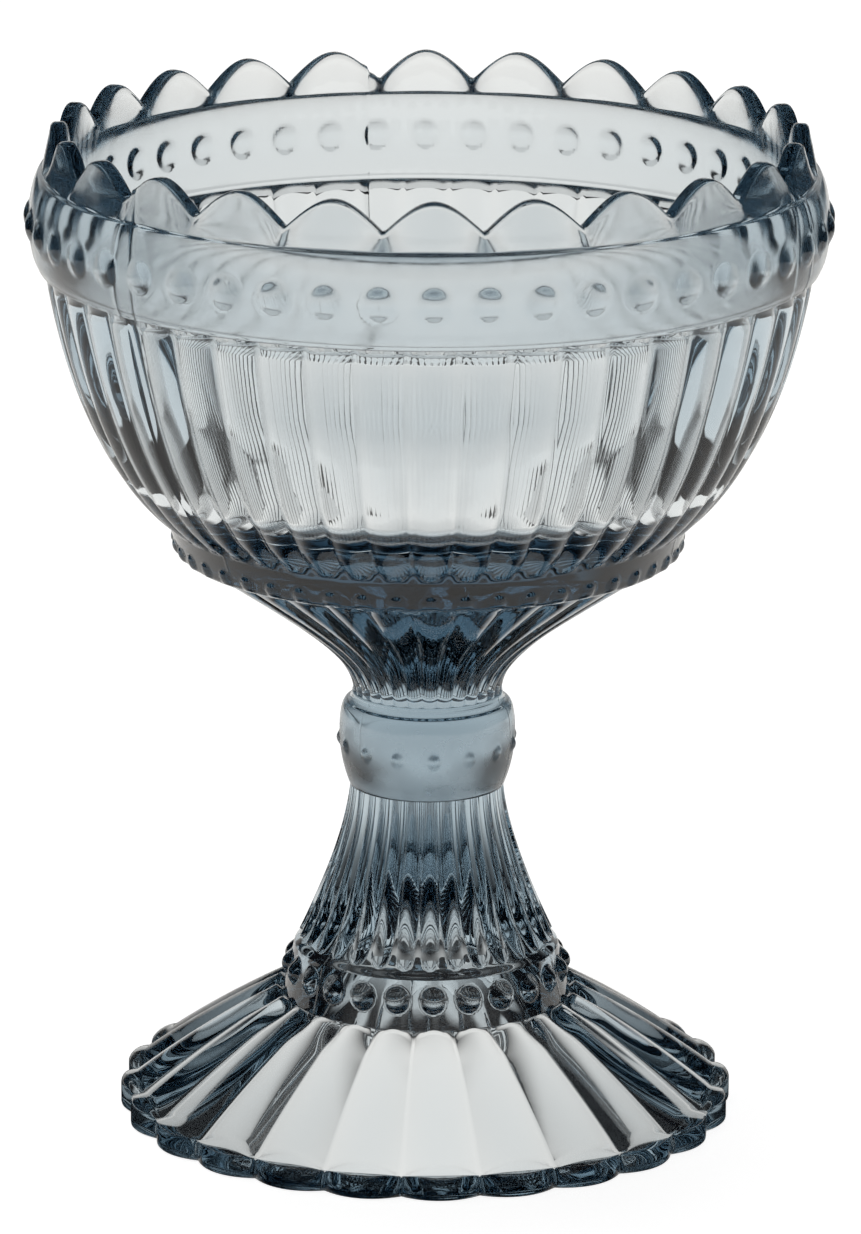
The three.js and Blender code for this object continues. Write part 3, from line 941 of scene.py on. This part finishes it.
def floor_to_eye(tree, look):
    """The floor as the camera sees it: white all over, with the bowl's faint shadow."""
    glow = add_node(
        tree, "ShaderNodeEmission", {},
        {"Color": (*look.white, 1), "Strength": FLOOR_GLOW}).outputs["Emission"]
    matt = add_node(tree, "ShaderNodeBsdfDiffuse", {}, {"Color": FLOOR_MATT}).outputs["BSDF"]
    return add_node(tree, "ShaderNodeAddShader", {}, {}, {0: glow, 1: matt}).outputs["Shader"]


def stage_floor(look):
    """White paper on a dark studio floor, which the camera sees white all over."""
    material = bpy.data.materials.new("white_floor")
    tree = empty_tree(material)
    shown = paper_in_glass(tree, look)
    in_glass = add_node(
        tree, "ShaderNodeEmission", {}, {"Strength": 1.0}, {"Color": shown}).outputs["Emission"]
    to_eye = floor_to_eye(tree, look)
    seen = add_node(tree, "ShaderNodeLightPath").outputs["Is Camera Ray"]
    both = add_node(
        tree, "ShaderNodeMixShader", {}, {}, {0: seen, 1: in_glass, 2: to_eye}).outputs["Shader"]
    add_node(tree, "ShaderNodeOutputMaterial", {}, {}, {"Surface": both})
    return material


def make_floor(look):
    """A wide round floor, a hair below the foot."""
    bm = bmesh.new()
    bmesh.ops.create_circle(bm, cap_ends=True, segments=FLOOR_SIDES, radius=look.floor_radius)
    bmesh.ops.translate(bm, verts=bm.verts, vec=(0, 0, -FLOOR_DROP))
    mesh = mesh_from(bm, "floor")
    mesh.materials.append(stage_floor(look))
    floor = add_object("floor", mesh)


def make_studio(look):
    """A dark studio with the paper's low rise behind the bowl. To the eye it is white all round."""
    world = bpy.data.worlds.new("studio")
    bpy.context.scene.world = world
    tree = empty_tree(world)
    way = add_node(tree, "ShaderNodeTexCoord").outputs["Generated"]
    parts = add_node(tree, "ShaderNodeSeparateXYZ", {}, {}, {0: way}).outputs
    behind = ramp(tree, parts["Y"], *RISE_BEHIND)
    low = ramp(tree, parts["Z"], *RISE_LOW)
    shown = blend(tree, product(tree, behind, low), look.dark, look.backdrop)
    seen = add_node(tree, "ShaderNodeLightPath").outputs["Is Camera Ray"]
    sky = blend(tree, seen, shown, look.white)
    glow = add_node(tree, "ShaderNodeBackground", {}, {"Strength": 1.0}, {"Color": sky}).outputs["Background"]
    add_node(tree, "ShaderNodeOutputWorld", {}, {}, {"Surface": glow})


def make_lamp(name, place, size, power):
    """A square lamp that shines on the foot of the bowl and doesn't show in the glass."""
    data = bpy.data.lights.new(name, "AREA")
    data.size = size
    data.energy = power
    lamp = add_object(name, data)
    lamp.location = place
    lamp.rotation_euler = (-Vector(place)).to_track_quat("-Z", "Y").to_euler()
    lamp.visible_camera = False
    lamp.visible_glossy = False
    lamp.visible_transmission = False


def make_camera():
    """The camera where the photograph was taken from, a little above the bowl."""
    data = bpy.data.cameras.new("camera")
    data.sensor_width = CAMERA_SENSOR
    data.lens = CAMERA_LENS
    camera = add_object("camera", data)
    place = Vector(CAMERA_PLACE)
    aim = Vector(CAMERA_AIM)
    roll = Quaternion((0, 0, 1), CAMERA_ROLL)
    camera.location = place
    camera.rotation_mode = "QUATERNION"
    camera.rotation_quaternion = (aim - place).to_track_quat("-Z", "Y") @ roll
    bpy.context.scene.camera = camera


class DESSERT_BOWL_OT_stage(bpy.types.Operator):
    """Set up the white floor, the studio, the lamp and the camera"""

    bl_idname = "dessert_bowl.stage"
    bl_label = "Stage"

    def execute(self, context):
        scene = context.scene
        look = scene.dessert_bowl.stage
        make_floor(look)
        make_studio(look)
        make_lamp("softbox", SOFTBOX_PLACE, SOFTBOX_SIZE, SOFTBOX_POWER)
        make_camera()
        scene.view_settings.view_transform = "Standard"
        scene.cycles.max_bounces = BOUNCES
        scene.cycles.transmission_bounces = BOUNCES
        scene.cycles.glossy_bounces = GLOSSY_BOUNCES
        return {"FINISHED"}


class DESSERT_BOWL_OT_foot(bpy.types.Operator):
    """Model the lobed foot with its beaded shoulder"""

    bl_idname = "dessert_bowl.foot"
    bl_label = "Foot"

    def execute(self, context):
        s = context.scene.dessert_bowl
        rows = shoulder_rows(s.foot, s.stem) + skirt_rows(s.foot) + rim_rows(s.foot) + hollow_rows(s.foot)
        piece = turned_section("glass_foot", rows, FOOT_SECTORS, closed=True)
        place_section(piece, "foot", smoke_glass("smoke_glass_foot", s.glass))
        return {"FINISHED"}


class DESSERT_BOWL_OT_stem(bpy.types.Operator):
    """Model the fluted stem"""

    bl_idname = "dessert_bowl.stem"
    bl_label = "Stem"

    def execute(self, context):
        s = context.scene.dessert_bowl
        piece = turned_section("glass_stem", stem_rows(s.stem, s.foot), STEM_SECTORS)
        place_section(piece, "stem", smoke_glass("smoke_glass_stem", s.glass))
        return {"FINISHED"}


class DESSERT_BOWL_OT_knop(bpy.types.Operator):
    """Model the beaded knop"""

    bl_idname = "dessert_bowl.knop"
    bl_label = "Knop"

    def execute(self, context):
        s = context.scene.dessert_bowl
        rows = knop_rows(s.knop, s.stem, s.neck)
        piece = turned_section("glass_knop", rows, STEM_SECTORS, unevenness=KNOP_UNEVENNESS)
        place_section(piece, "knop", smoke_glass("smoke_glass_knop", s.glass, s.glass.knop_haze))
        return {"FINISHED"}


class DESSERT_BOWL_OT_neck(bpy.types.Operator):
    """Model the flared neck"""

    bl_idname = "dessert_bowl.neck"
    bl_label = "Neck"

    def execute(self, context):
        s = context.scene.dessert_bowl
        piece = turned_section("glass_neck", neck_rows(s.neck), STEM_SECTORS)
        place_section(piece, "neck", smoke_glass("smoke_glass_neck", s.glass))
        return {"FINISHED"}


class DESSERT_BOWL_OT_bowl(bpy.types.Operator):
    """Model the bowl with its base ring, fluted cup, beaded band and scalloped crown"""

    bl_idname = "dessert_bowl.bowl"
    bl_label = "Bowl"

    def execute(self, context):
        s = context.scene.dessert_bowl
        b = s.bowl
        rows = ring_rows(b, s.neck) + cup_rows(b) + band_rows(b) + crown_rows(b) + inside_rows(b)
        piece = turned_section("glass_bowl", rows, BOWL_SECTORS)
        place_section(piece, "bowl", smoke_glass("smoke_glass_bowl", s.glass, s.glass.bowl_haze))
        return {"FINISHED"}


class VIEW3D_PT_dessert_bowl(bpy.types.Panel):
    """Sizes, colours and steps of the dessert bowl"""

    bl_label = "Dessert bowl"
    bl_space_type = "VIEW_3D"
    bl_region_type = "UI"
    bl_category = "Dessert bowl"

    def draw(self, context):
        settings = context.scene.dessert_bowl
        for step in OPERATORS:
            self.layout.operator(step.bl_idname)
        for group in ("foot", "stem", "knop", "neck", "bowl", "glass", "stage"):
            box = self.layout.box()
            box.label(text=group.capitalize())
            for name in getattr(settings, group).__annotations__:
                box.prop(getattr(settings, group), name)


OPERATORS = (
    DESSERT_BOWL_OT_stage,
    DESSERT_BOWL_OT_foot,
    DESSERT_BOWL_OT_stem,
    DESSERT_BOWL_OT_knop,
    DESSERT_BOWL_OT_neck,
    DESSERT_BOWL_OT_bowl,
)
GROUPS = (FootSizes, StemSizes, KnopSizes, NeckSizes, BowlSizes, GlassLook, StageLook, DessertBowlSettings)
CLASSES = GROUPS + OPERATORS + (VIEW3D_PT_dessert_bowl,)


def register():
    """Registers the classes and gives every scene the bowl's settings."""
    for cls in CLASSES:
        bpy.utils.register_class(cls)
    bpy.types.Scene.dessert_bowl = bpy.props.PointerProperty(type=DessertBowlSettings)


def unregister():
    """Takes the settings and the classes away again."""
    del bpy.types.Scene.dessert_bowl
    for cls in reversed(CLASSES):
        bpy.utils.unregister_class(cls)


def main():
    """Builds the stage and the five sections, from the foot up."""
    register()
    bpy.ops.dessert_bowl.stage()
    bpy.ops.dessert_bowl.foot()
    bpy.ops.dessert_bowl.stem()
    bpy.ops.dessert_bowl.knop()
    bpy.ops.dessert_bowl.neck()
    bpy.ops.dessert_bowl.bowl()


if __name__ == "__main__":
    main()
